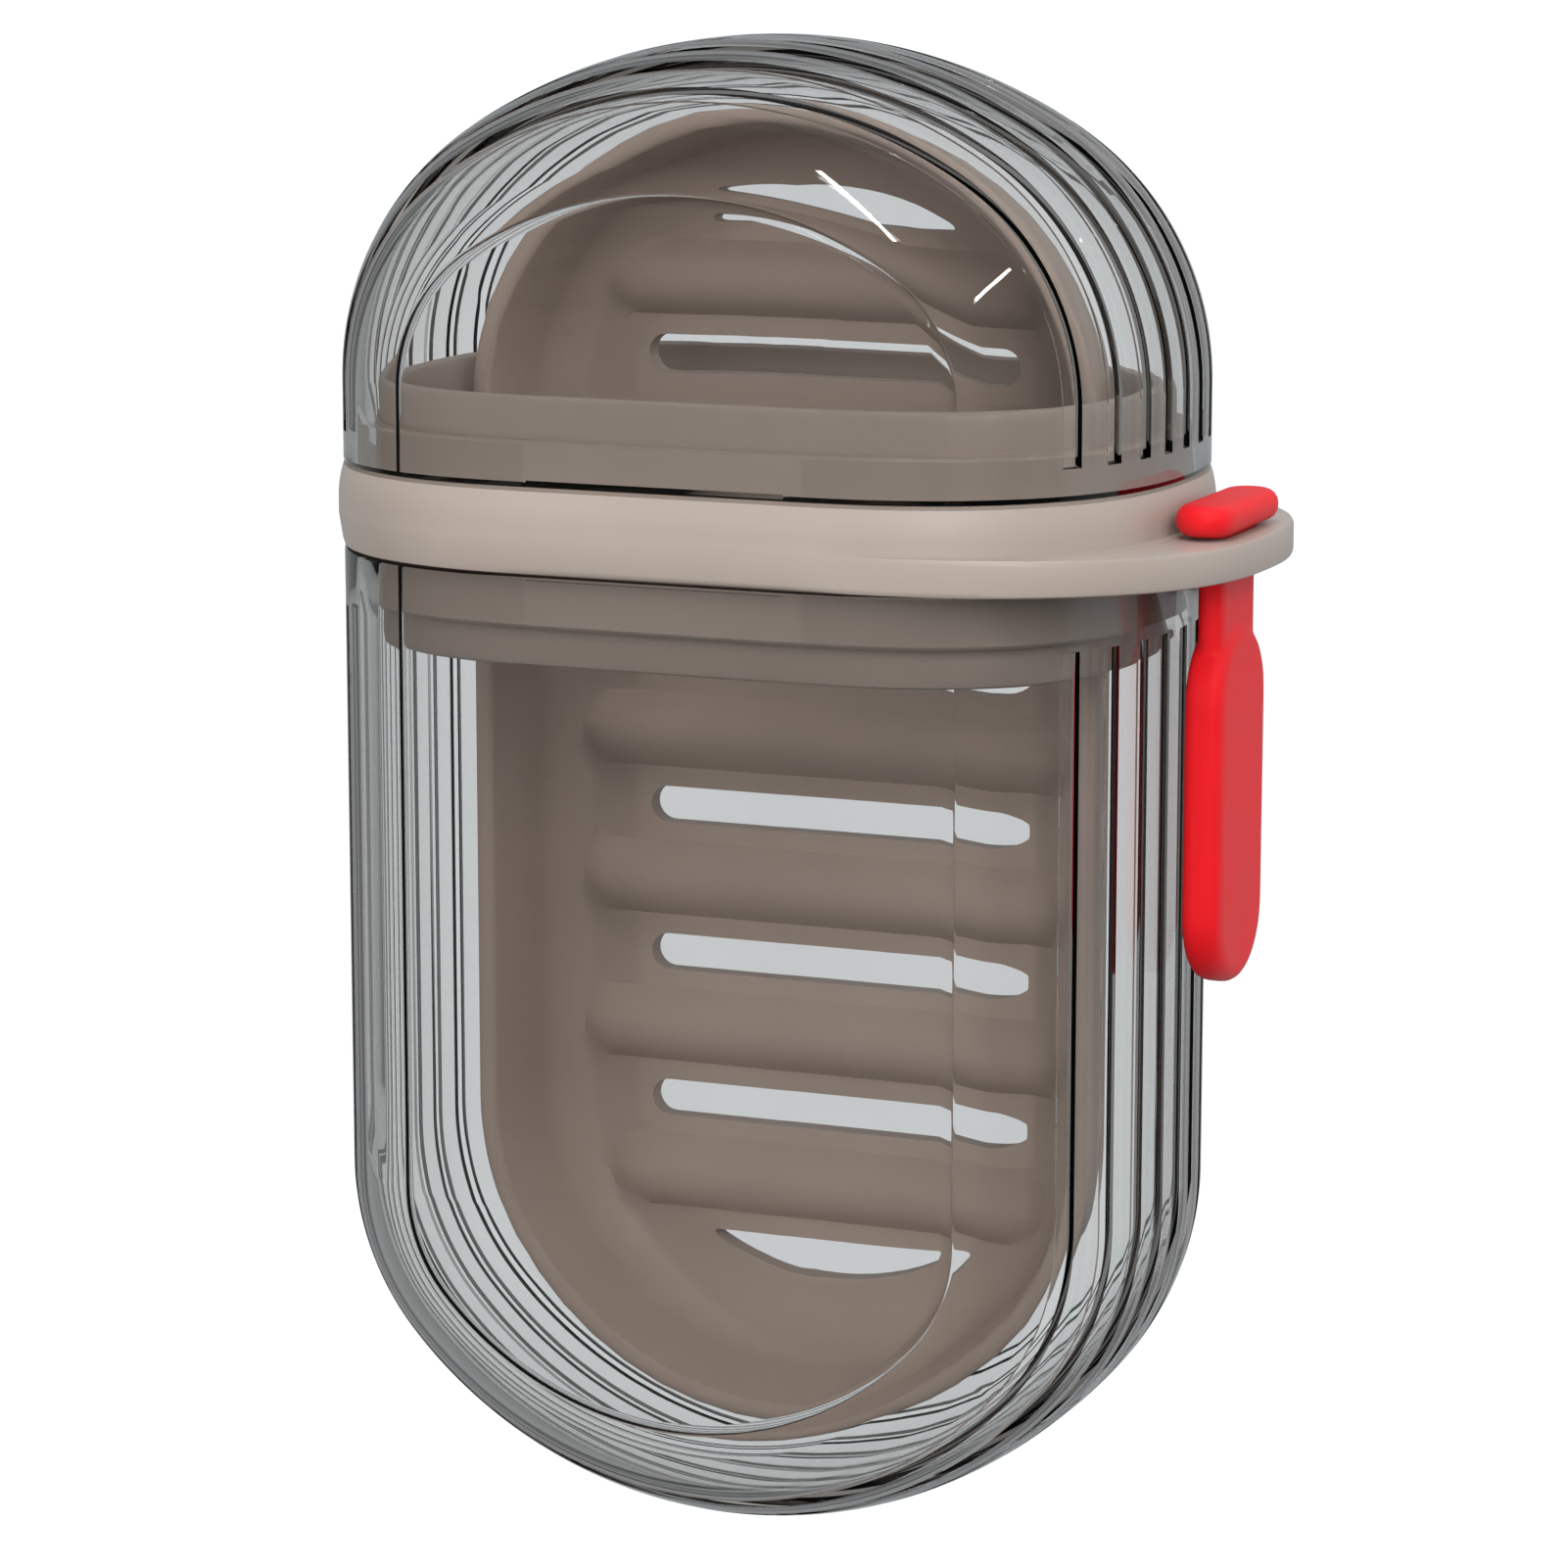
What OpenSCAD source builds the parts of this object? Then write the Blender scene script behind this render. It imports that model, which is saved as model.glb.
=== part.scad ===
// Covered soap dish: two clear shells pushed over a collar, which holds a drain tray and a strap.
// It lies on its back: X across, Y along the case with the cover at +Y, Z up through the front.
// The origin is the middle of the collar's back crest, halfway up the band.

/* [Case] */
// Width of the shells
case_w = 80; // [76:1:90]
// Depth of the shells, back to front
case_d = 56; // [52:1:64]
// Width of the flat strip down the middle of the back and the front
flat_w = 26; // [20:1:30]
// Squareness of the section (2 is an ellipse)
squareness = 2.39; // [2.2:0.01:2.6]
// Wall of the shells
wall = 2; // [1.6:0.1:2.4]
// Straight run of the cover's sides, from its rim to its round end
cover_side = 7.6; // [7:0.1:20]
// Rise of the cover's end over its corner arcs
cover_crown = 3.4; // [2:0.1:6]
// Straight run of the lower shell's sides, from its rim to its round end
lower_side = 58.6; // [54:0.1:75]
// Rise of the lower shell's end over its corner arcs
lower_crown = 5.4; // [3:0.1:8]

/* [Grooves] */
// Grooves round each side
groove_count = 7; // [3:2:7]
// Spacing of the grooves, measured through the case
groove_pitch = 4.5; // [3.5:0.1:5]
// Width of a groove
groove_w = 1.3; // [0.8:0.1:1.6]
// Depth of a groove
groove_deep = 0.7; // [0.4:0.1:0.9]
// Smooth strip between the cover's rim and its grooves
cover_plain = 2.9; // [2:0.1:6]
// Smooth strip between the lower shell's rim and its grooves
lower_plain = 5.3; // [2:0.1:10]

/* [Collar] */
// Height of the band between the two shells
band_h = 7.4; // [6:0.1:10]
// Height of the flat crest round the middle of the band
crest_h = 1.5; // [1.2:0.1:3]
// How far the band's crest stands proud of the shells
band_proud = 0.5; // [0.3:0.1:1.2]
// How far the wide lip reaches into the cover
cover_lip = 4.3; // [3:0.1:6]
// How far the wide lip reaches into the lower shell
lower_lip = 5.2; // [3:0.1:7]
// Further reach of the narrow lips
lead_lip = 3.8; // [3:0.1:5]
// Inset of the narrow lips from the wide ones
lip_step = 1.5; // [1:0.1:2]
// Thickness of the narrow lips
lip_wall = 1.8; // [1.4:0.1:2.4]
// Gap between a shell's rim and the band
rim_gap = 0.3; // [0.3:0.05:0.5]
// Gap between the shells and the lips
lip_gap = 0.3; // [0.3:0.05:0.5]

/* [Ear] */
// Reach of the ear past the side of the shells
ear_reach = 8.7; // [8:0.1:12]
// Bar of the ear outside the slot
ear_bar = 3.3; // [2:0.1:4]
// Thickness of the ear
ear_t = 3.3; // [2.5:0.1:5]
// Rounding of the ear's edges
ear_round = 0.5; // [0.3:0.1:1]
// Gap all round the strap's neck in the ear's slot
slot_gap = 0.3; // [0.3:0.05:0.6]

/* [Drain tray] */
// Gap between the tray's sides and the collar's bore
tray_side_gap = 2.9; // [2.5:0.1:4]
// Gap between the tray's underside and the back of the collar's bore
tray_under_gap = 5.9; // [4:0.1:8]
// Wall and floor of the tray
tray_wall = 2; // [1.5:0.1:2.5]
// Lean of the tray's walls from the rim to the floor
tray_lean = 1.2; // [0.5:0.1:2]
// Rounding between the tray's walls and its floor
tray_round = 4; // [3:0.5:5]
// Gap between the tray's end and the cover's top
tray_top_gap = 5.8; // [4:0.1:10]
// Gap between the tray's end and the lower shell's end
tray_foot_gap = 6.5; // [4:0.1:10]
// From the tray's middle to the centres of its corner arcs
tray_corner_in = 4.5; // [3:0.5:8]
// Rise of the tray's ends over their corner arcs
tray_crown = 3; // [2:0.1:5]
// Long slots in the tray
slot_count = 6; // [4:1:6]
// From the tray's ends to the middle of the end slots
slot_end = 11.9; // [11:0.1:14]
// Shift of the row of slots towards the tray's top
slot_shift = 1.1; // [0:0.1:2]
// From the tray's sides to the ends of the long slots
slot_side = 12.5; // [11:0.5:17]
// Height of a slot
slot_h = 3.6; // [2.5:0.1:3.9]
// From the tray's sides to the corners of the two end slots
end_slot_side = 19; // [17:0.5:22]
// From the tray's sides to the ends of the ridges between the slots
ridge_side = 5; // [4.5:0.5:9]
// Height of a ridge's round back
ridge_r = 3.6; // [3:0.1:4]
// How far a ridge stands up from the floor
ridge_up = 2.5; // [1.5:0.1:3]
// Gap round the tray's tongues in the collar
tongue_gap = 0.3; // [0.3:0.05:0.5]
// Thickness of the tongues and of the rails that hold them
rail_t = 2; // [1.5:0.1:3]

/* [Strap] */
// Width of the strap's neck
neck_w = 10; // [8:0.5:12]
// Thickness of the neck
neck_t = 2.3; // [1.8:0.1:3]
// Length of the neck that shows below the ear
neck_l = 5; // [4:0.5:10]
// Length of the head
head_l = 17; // [14:0.5:20]
// Width of the head
head_w = 5.3; // [4:0.1:6]
// Height of the head
head_h = 2.3; // [1.8:0.1:3]
// Gap under the head
head_gap = 0.3; // [0.3:0.05:0.5]
// Width of the paddle
paddle_w = 13.6; // [11:0.1:16]
// Length of the paddle
paddle_l = 33; // [26:1:45]
// Thickness of the paddle
paddle_t = 3.8; // [3:0.1:4.4]

/* [Hidden] */

// Steps in a quarter of the section, in the tray's arcs, and in the shells' corner and end arcs
quarter_steps = 10;
arc_steps = 8;
corner_steps = 5;
end_steps = 8;
// Faces round the small round ends, and steps along the bow of the end slots
round_fn = 32;
bow_steps = 12;
// Overlap that joins or cuts cleanly
eps = 0.01;
// Angle of a half turn and of a quarter turn
half_turn = 180;
quarter_turn = 90;

beige = [0.69, 0.65, 0.61];
smoke = [0.75, 0.79, 0.82, 0.35];
red = [0.88, 0.16, 0.18];

half_w = case_w / 2;
half_d = case_d / 2;
flat_x = flat_w / 2;
curve_w = half_w - flat_x;
// The round ends' corner arcs turn about points just inside the flat strip
corner_in = 1;
corner_x = flat_x - corner_in;
corner_r = half_w - corner_x;
power = 2 / squareness;
mid_z = half_d + band_proud;
band_y = band_h / 2;
rim_y = band_y + rim_gap;

// Point of the section's first quarter at angle t, moved in by inset along its normal
function normal_at(t) =
    let (n = [half_d * pow(sin(t), 2 - power), curve_w * pow(cos(t), 2 - power)]) n / norm(n);
function quarter_at(t, inset) =
    [flat_x + curve_w * pow(sin(t), power), half_d * pow(cos(t), power)] - inset * normal_at(t);
function quarter_points(inset) =
    [for (i = [0 : quarter_steps]) quarter_at(quarter_turn * i / quarter_steps, inset)];
// The right half of the section, from the front's middle strip round to the back's
function half_points(inset) =
    let (q = quarter_points(inset), n = quarter_steps)
    concat(q, [for (i = [n - 1 : -1 : 0]) [q[i][0], -q[i][1]]]);
// The whole section, clockwise from the front
function section_points(inset) =
    let (h = half_points(inset), n = len(h))
    concat(h, [for (i = [n - 1 : -1 : 0]) [-h[i][0], h[i][1]]]);

// An arch of three arcs: corner arcs of radius r about [x_c, 0], and an end arc over them, which rises
// by crown and has the radius r + arch_u
function arch_u(x_c, crown) = (x_c * x_c + crown * crown) / (2 * crown);
function arc(centre, r, from, to, steps) =
    [for (i = [0 : steps]) let (a = from + (to - from) * i / arc_steps) centre + r * [cos(a), sin(a)]];
function arch_points(x_c, r, crown) =
    let (u = arch_u(x_c, crown), b = atan2(u - crown, x_c))
    concat(arc([x_c, 0], r, 0, b, arc_steps - 1),
        arc([0, crown - u], r + u, b, half_turn - b, arc_steps - 1),
        arc([-x_c, 0], r, half_turn - b, half_turn, arc_steps));
function shifted(points, by) = [for (p = points) p + [0, by]];
function turned(points) = [for (p = points) -p];

// A slab of the section along Y, from y_low to y_high
module along_y(y_low, y_high) {
    translate([0, y_high, mid_z]) rotate([quarter_turn, 0, 0]) linear_extrude(y_high - y_low) children();
}

// A closed skin through rows of points, with a flat face over the first row and the last
module skin(rows) {
    n = len(rows[0]);
    m = len(rows);
    polyhedron(
        points = [for (row = rows) each row],
        faces = concat(
            [[for (i = [0 : n - 1]) i]],
            [for (j = [0 : m - 2], i = [0 : n - 1])
                [j * n + i, (j + 1) * n + i, (j + 1) * n + (i + 1) % n, j * n + (i + 1) % n]],
            [[for (i = [n - 1 : -1 : 0]) (m - 1) * n + i]]),
        convexity = 6);
}

// Shells

groove_last = (groove_count - 1) / 2;
// Run over which a groove falls to its depth at its end, and the same over its width as a share of it
groove_run = 0.3;
groove_slope = 0.25;

// Angle along the half section, from 0 at the front strip to 180 at the back, for a depth y
function side_angle(y) =
    let (t = acos(pow(min(abs(y) / half_d, 1), 1 / power))) y > 0 ? t : half_turn - t;
// Point of the half section at such an angle, moved in by inset
function half_at(s, inset) =
    s <= quarter_turn ? quarter_at(s, inset)
        : let (p = quarter_at(half_turn - s, inset)) [p[0], -p[1]];
// Angles of the four corners of the groove at the depth y, with its dent at the middle two
function groove_stations(y) =
    let (h = groove_w / 2, s0 = side_angle(y + h), s1 = side_angle(y - h), slope = (s1 - s0) * groove_slope)
    [[s0, 0], [s0 + slope, 1], [s1 - slope, 1], [s1, 0]];
// Stations of the half section as [angle, whether a groove's floor is there], the same front and back
stations =
    let (grooves = [for (k = [groove_last : -1 : -groove_last]) each groove_stations(k * groove_pitch)],
        edge = [for (i = [0 : quarter_steps - 1]) grooves[0][0] * i / quarter_steps])
    concat([for (e = edge) [e, 0]], grooves,
        [for (i = [quarter_steps - 1 : -1 : 0]) [half_turn - edge[i], 0]]);
// The half section as [distance out from the corner's centre, depth], dented where the grooves run
function half_profile(inset, dent) =
    [for (s = stations) half_at(s[0], inset + dent * s[1]) - [corner_x, 0]];

// Stations of a shell's skin, up one side, round the end and down the other, each with
// the centre it turns about, its extra radius, its heading and whether the grooves run there
function shell_path(side, crown, plain) =
    let (u = arch_u(corner_x, crown), k = u - crown, b = atan2(k, corner_x),
        right = [for (y = [[0, 0], [plain, 0], [plain + groove_run, 1]]) [corner_x, y[0], 0, 0, y[1]]],
        corner = [for (i = [0 : corner_steps - 1]) [corner_x, side, 0, b * i / corner_steps, 1]],
        top = [for (i = [0 : end_steps]) [0, side - k, u, b + (half_turn - 2 * b) * i / end_steps, 1]],
        up = concat(right, corner))
    concat(up, top, [for (i = [len(up) - 1 : -1 : 0])
        let (p = up[i]) [-p[0], p[1], p[2], half_turn - p[3], p[4]]]);

// One face of a shell's wall, as a row of points for each station
function shell_sheet(path, inset, dent) =
    [for (p = path) [for (q = half_profile(inset, dent * p[4]))
        [p[0] + (p[2] + q[0]) * cos(p[3]), p[1] + (p[2] + q[0]) * sin(p[3]), mid_z + q[1]]]];

// A shell from its rim at y = 0 to its round end, as one closed skin: the wall's two faces, the flat
// strips' plates, each listed from the end's middle, and the rim between them
module shell(side, crown, plain) {
    path = shell_path(side, crown, plain);
    outer = shell_sheet(path, 0, groove_deep);
    inner = shell_sheet(path, wall, 0);
    m = len(path);
    n = len(stations);
    i = m * n;
    end = (m - 1) * n;
    plate = [for (j = [0 : m - 1]) ((j + (m - 1) / 2) % m) * n];
    polyhedron(
        points = concat([for (row = outer) each row], [for (row = inner) each row]),
        faces = concat(
            [for (j = [0 : m - 2], k = [0 : n - 2]) let (a = j * n + k, b = a + n)
                each [[a, a + 1, b + 1, b], [i + a, i + b, i + b + 1, i + a + 1]]],
            [plate,
             [for (j = [m - 1 : -1 : 0]) plate[j] + n - 1],
             [for (j = [m - 1 : -1 : 0]) i + plate[j]],
             [for (j = [0 : m - 1]) i + plate[j] + n - 1]],
            [for (k = [0 : n - 2]) each
                [[k + 1, k, i + k, i + k + 1], [end + k, end + k + 1, i + end + k + 1, i + end + k]]],
            [[0, end, i + end, i],
             [n - 1, i + n - 1, i + end + n - 1, end + n - 1]]),
        convexity = 6);
}

module top_cover() {
    color(smoke) translate([0, rim_y, 0]) shell(cover_side, cover_crown, cover_plain);
}

module lower_shell() {
    color(smoke) translate([0, -rim_y, 0]) rotate(half_turn) shell(lower_side, lower_crown, lower_plain);
}

// Collar

wide_inset = wall + lip_gap;
narrow_inset = wide_inset + lip_step;
bore_inset = narrow_inset + lip_wall;
lip_round = lip_wall / 2;
crown_steps = 3;

ear_tip = half_w + ear_reach;
ear_low = -band_y;
ear_top = ear_low + ear_t;
ear_square = 3.1;
// The ear's top face falls by this much towards its edge
ear_draft = 0.1;
strap_x = ear_tip - ear_bar - neck_t / 2 - slot_gap;

// How far the crowned band stands proud at the height y
function crown_at(y) =
    let (past = max(0, abs(y) - crest_h / 2) / (band_y - crest_h / 2)) band_proud * (1 - past * past);
// A row of the collar's skin at one inset and height
function ring_row(inset, y) = [for (q = section_points(inset)) [q[0], y, q[1] + mid_z]];

// The ear's outline at the angle s, from the front strip round the right side to the back strip
function ear_at(s) =
    let (e = 2 / ear_square, c = cos(s))
    [flat_x + (ear_tip - flat_x) * pow(sin(s), e), (half_d + band_proud) * sign(c) * pow(abs(c), e)];
// A row that follows the ear on the right half and the band's crown on the left half
function ear_row(inset, y) =
    let (ring = section_points(-crown_at(y)), n = 2 * quarter_steps)
    [for (i = [0 : len(ring) - 1])
        let (reach = i > n ? [0, 0] : ear_at(half_turn * i / n) - ring[i],
            q = ring[i] + reach * max(0, 1 - inset / max(norm(reach), eps)))
        [q[0], y, q[1] + mid_z]];

// Rows over a lip: out along the wide lip, in a step, and round the narrow lip's end to the bore
function lip_rows(reach, side) =
    let (y1 = side * (band_y + reach), y2 = y1 + side * lead_lip, r = lip_round * (1 - cos(quarter_turn / 2)))
    [ring_row(wide_inset, side * band_y), ring_row(wide_inset, y1), ring_row(narrow_inset, y1),
     ring_row(narrow_inset, y2 - side * lip_round), ring_row(narrow_inset + r, y2 - side * r),
     ring_row(narrow_inset + lip_round, y2), ring_row(bore_inset, y2)];

// The collar's section carried round the case as a closed loop, with the ear in the band's own skin
module collar_ring() {
    lower = lip_rows(lower_lip, -1);
    rows = concat(
        [ear_row(ear_round, ear_low), ear_row(0, ear_low + ear_round),
         ear_row(0, ear_top - ear_round - ear_draft), ear_row(ear_round, ear_top - ear_draft)],
        [ring_row(-crown_at(ear_top), ear_top)],
        [for (i = [0 : crown_steps])
            let (y = crest_h / 2 + (band_y - crest_h / 2) * i / crown_steps) ring_row(-crown_at(y), y)],
        lip_rows(cover_lip, 1),
        [for (i = [len(lower) - 1 : -1 : 0]) lower[i]]);
    m = len(rows);
    n = len(rows[0]);
    polyhedron(
        points = [for (row = rows) each row],
        faces = [for (j = [0 : m - 1], i = [0 : n - 1])
            [((j + 1) % m) * n + i, ((j + 1) % m) * n + (i + 1) % n, j * n + (i + 1) % n, j * n + i]],
        convexity = 8);
}

// A bar with round ends, long across the slot's direction
module pill(l, w) {
    translate([-w / 2, -(l - w) / 2]) square([w, l - w]);
    for (s = [-1, 1]) translate([0, s * (l - w) / 2]) circle(w / 2, $fn = round_fn);
}

module ear_slot() {
    along_y(ear_low - eps, ear_top + eps)
        translate([strap_x, 0]) pill(neck_w + 2 * slot_gap, neck_t + 2 * slot_gap);
}

bore_half = half_w - bore_inset;
tray_half = bore_half - tray_side_gap;
tongue_half = bore_half - tongue_gap;
tongue_y = band_y;

// Two rails on each side of the bore with the tray's tongue between them
module rails() {
    for (side = [0, 1], z = [-rail_t - tongue_gap - rail_t, tongue_gap]) {
        mirror([side, 0, 0]) translate([tray_half + tongue_gap, -tongue_y, mid_z + z])
            cube([bore_half - tray_half - tongue_gap + lip_wall / 2, 2 * tongue_y, rail_t]);
    }
}

module collar() {
    color(beige) {
        difference() {
            collar_ring();
            ear_slot();
        }
        rails();
    }
}

// Drain tray

tray_top = rim_y + cover_side + corner_r + cover_crown - tray_top_gap;
tray_foot = -rim_y - lower_side - corner_r - lower_crown + tray_foot_gap;
tray_corner_r = tray_half - tray_corner_in;
tray_arc_top = tray_top - tray_corner_r - tray_crown;
tray_arc_foot = tray_foot + tray_corner_r + tray_crown;
rim_z = mid_z;
tray_deep = half_d - bore_inset - tray_under_gap - tray_wall;
floor_z = rim_z - tray_deep;
round_steps = 4;

// The tray's outline at a height z
function tray_row(inset, z) =
    let (top = arch_points(tray_corner_in, tray_corner_r - inset, tray_crown))
    [for (p = concat(shifted(top, tray_arc_top), shifted(turned(top), tray_arc_foot))) [p[0], p[1], z]];

// The wall's inner or outer face, from its rounded foot up to the rim
function tray_face(inset, base, r) = concat(
    [for (i = [0 : round_steps]) let (a = quarter_turn * i / round_steps)
        [inset + tray_lean + r * (1 - sin(a)), base + r * (1 - cos(a))]],
    [[inset, rim_z]]);

module tray_dish() {
    outer = tray_face(0, floor_z - tray_wall, tray_round);
    inner = tray_face(tray_wall, floor_z, tray_round - tray_wall / 2);
    n = len(inner);
    skin([for (p = concat(outer, [for (i = [n - 1 : -1 : 0]) inner[i]])) tray_row(p[0], p[1])]);
}

slot_mid = (tray_top + tray_foot) / 2 + slot_shift;
slot_pitch = (tray_top - tray_foot - 2 * slot_end) / (slot_count + 1);
slot_ys = [for (k = [0 : slot_count - 1]) slot_mid + (k - (slot_count - 1) / 2) * slot_pitch];
end_slot_y = (slot_count + 1) / 2 * slot_pitch;
ridge_ys = [for (k = [0 : slot_count]) slot_mid + (k - slot_count / 2) * slot_pitch];

module through_floor() {
    translate([0, 0, floor_z - tray_wall - eps]) linear_extrude(tray_wall + ridge_up + 2 * eps) children();
}

// End slot: straight towards the middle and bowed towards the tray's end
module end_slot() {
    half = tray_half - end_slot_side;
    bow = (half * half + slot_h * slot_h) / (2 * slot_h);
    turn = asin(half / bow);
    polygon([for (i = [0 : bow_steps]) let (a = turn * (1 - 2 * i / bow_steps))
        [bow * sin(a), slot_h - bow + bow * cos(a)]]);
}

module tray_slots() {
    through_floor() {
        for (y = slot_ys) translate([0, y]) rotate(quarter_turn)
            pill(2 * (tray_half - slot_side), slot_h);
        for (s = [-1, 1]) translate([0, slot_mid + s * (end_slot_y - slot_h / 2)]) scale([1, s]) end_slot();
    }
}

// A bar with a round back, turned about its length
module ridge_bar(l, r) {
    end = concat([[0, l / 2]], [for (i = [1 : round_steps])
        let (a = quarter_turn * i / round_steps) [r * sin(a), l / 2 - r * (1 - cos(a))]]);
    rotate([0, quarter_turn, 0])
        rotate_extrude($fn = round_fn)
            polygon(concat(end, [for (i = [len(end) - 1 : -1 : 0]) [end[i][0], -end[i][1]]]));
}

ridge_axis_z = floor_z + ridge_up - ridge_r;
// The ridges beside the tray's round ends stop this much short of the others, at each side
end_ridge_cut = 3;
function ridge_length(y) =
    2 * (tray_half - ridge_side - (y > tray_arc_top || y < tray_arc_foot ? end_ridge_cut : 0));

module ridges(r, shorter) {
    for (y = ridge_ys) translate([0, y, ridge_axis_z]) ridge_bar(ridge_length(y) - shorter, r);
}

// A tongue on each side of the rim, between the collar's rails
module tongues() {
    for (side = [0, 1]) {
        mirror([side, 0, 0]) translate([tray_half - tray_wall / 2, -tongue_y, rim_z - rail_t])
            cube([tongue_half - tray_half + tray_wall / 2, 2 * tongue_y, rail_t]);
    }
}

module drain_tray() {
    below = floor_z - tray_wall;
    color(beige) difference() {
        union() {
            tray_dish();
            tongues();
            intersection() {
                ridges(ridge_r, 0);
                translate([-tray_half, tray_foot, below + eps])
                    cube([2 * tray_half, tray_top - tray_foot, tray_deep]);
            }
        }
        ridges(ridge_r - tray_wall, 2 * tray_wall);
        tray_slots();
    }
}

// Strap

head_low = ear_top + head_gap;
paddle_top = ear_low - neck_l;
paddle_round = 0.9;
head_round = 0.8;

module paddle_slab(inset, t) {
    l = paddle_l - 2 * inset;
    w = paddle_w - 2 * inset;
    translate([strap_x - t / 2, paddle_top - paddle_l / 2, mid_z]) rotate([0, quarter_turn, 0])
        linear_extrude(t) pill(l, w);
}

module strap() {
    color(red) {
        hull() {
            along_y(head_low, head_low + head_h - head_round) translate([strap_x, 0]) pill(head_l, head_w);
            along_y(head_low, head_low + head_h)
                translate([strap_x, 0]) pill(head_l - 2 * head_round, head_w - 2 * head_round);
        }
        along_y(paddle_top - paddle_w / 2, head_low + eps) translate([strap_x, 0]) pill(neck_w, neck_t);
        hull() {
            paddle_slab(0, paddle_t - 2 * paddle_round);
            paddle_slab(paddle_round, paddle_t);
        }
    }
}

collar();
drain_tray();
top_cover();
lower_shell();
strap();
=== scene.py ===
"""Dresses the covered soap dish: clear shells, collar, drain tray, strap, finishes and studio."""

from math import acos, asin, atan2, cos, hypot, pi, radians, sin, sqrt

import bmesh
import bpy
from bpy.props import FloatProperty, FloatVectorProperty, IntProperty, PointerProperty
from mathutils import Matrix, Vector


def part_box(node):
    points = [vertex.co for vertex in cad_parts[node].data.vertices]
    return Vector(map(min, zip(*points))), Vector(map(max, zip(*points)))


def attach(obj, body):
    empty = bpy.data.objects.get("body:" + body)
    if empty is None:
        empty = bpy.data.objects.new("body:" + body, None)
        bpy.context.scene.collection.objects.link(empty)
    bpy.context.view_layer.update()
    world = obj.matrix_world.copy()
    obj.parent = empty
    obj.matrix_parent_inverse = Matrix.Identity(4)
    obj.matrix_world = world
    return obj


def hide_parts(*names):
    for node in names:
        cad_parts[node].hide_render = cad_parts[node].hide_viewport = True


bl_info = {
    "name": "Covered Soap Dish",
    "version": (1, 0, 0),
    "blender": (4, 5, 0),
    "location": "View3D > Sidebar > Soap Dish",
    "description": "Builds the looks of a covered soap dish around its frame",
    "category": "Object",
}

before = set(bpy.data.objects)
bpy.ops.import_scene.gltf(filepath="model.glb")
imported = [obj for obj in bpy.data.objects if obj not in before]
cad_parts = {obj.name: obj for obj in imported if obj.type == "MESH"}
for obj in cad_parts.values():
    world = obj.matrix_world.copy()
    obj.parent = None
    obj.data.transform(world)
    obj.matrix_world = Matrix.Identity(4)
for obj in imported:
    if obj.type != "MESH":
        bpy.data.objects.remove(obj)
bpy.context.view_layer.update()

MM = 0.001
MICRON = 1e-6
CUT_NEAR = 0.1 * MICRON
LOWER_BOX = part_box("lower_shell")

# The case's section, as the frame has it: flat strips front and back, and squarish oval sides
CASE_W, CASE_D, FLAT_W, SQUARENESS = 80 * MM, 56 * MM, 26 * MM, 2.39
HALF_W, HALF_D, FLAT_X = CASE_W / 2, CASE_D / 2, FLAT_W / 2
CURVE_W = HALF_W - FLAT_X
POWER = 2 / SQUARENESS
MID_Z = (LOWER_BOX[0].z + LOWER_BOX[1].z) / 2
WALL = 2 * MM
CORNER_IN = 1 * MM
BAND_Y = 3.7 * MM
RIM_Y = BAND_Y + 0.3 * MM


def section_point(angle, inset=0.0):
    """Point (x, depth) of the right half section, at an angle from the front strip to the back."""
    turn = min(angle, pi - angle)
    s, c = max(sin(turn), 0.0), max(cos(turn), 0.0)
    normal = Vector((HALF_D * s ** (2 - POWER), CURVE_W * c ** (2 - POWER))).normalized()
    point = Vector((FLAT_X + CURVE_W * s ** POWER, HALF_D * c ** POWER)) - inset * normal
    return point if angle <= pi / 2 else Vector((point.x, -point.y))


def side_angle(depth):
    """Angle at which the half section reaches a depth, in front of the middle or behind it."""
    turn = acos(min(abs(depth) / HALF_D, 1.0) ** (1 / POWER))
    return turn if depth > 0 else pi - turn


def steps_between(start, end, count):
    """Values from start towards end, without the end itself."""
    return [start + (end - start) * i / count for i in range(count)]


def arch_arcs(centre_x, reach):
    """The middle arc of an arch of three arcs: its radius past the side arcs' centres, how far its
    own centre lies below them, and the angle at which it meets them."""
    spread = (centre_x ** 2 + reach ** 2) / (2 * reach)
    drop = spread - reach
    return spread, drop, atan2(drop, centre_x)


# Meshes and objects

# Faces with this many corners are flat plates, and stay flat in the shading
PLATE_CORNERS = 20


def new_object(name, bm):
    """An object of a bmesh, in the scene. The bmesh is freed."""
    mesh = bpy.data.meshes.new(name)
    bm.to_mesh(mesh)
    bm.free()
    obj = bpy.data.objects.new(name, mesh)
    bpy.context.scene.collection.objects.link(obj)
    return obj


def new_piece(name, bm, material, body, replaces, sharp=40):
    """A shown piece, smooth but for plates and for edges sharper than an angle in degrees."""
    for face in bm.faces:
        face.smooth = len(face.verts) < PLATE_CORNERS
    for edge in bm.edges:
        if len(edge.link_faces) == 2 and edge.calc_face_angle(0) > radians(sharp):
            edge.smooth = False
    obj = new_object(name, bm)
    obj.data.materials.append(material)
    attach(obj, body)
    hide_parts(replaces)


def remove_object(obj):
    """Removes an object and its mesh."""
    mesh = obj.data
    bpy.data.objects.remove(obj)
    bpy.data.meshes.remove(mesh)


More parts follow.
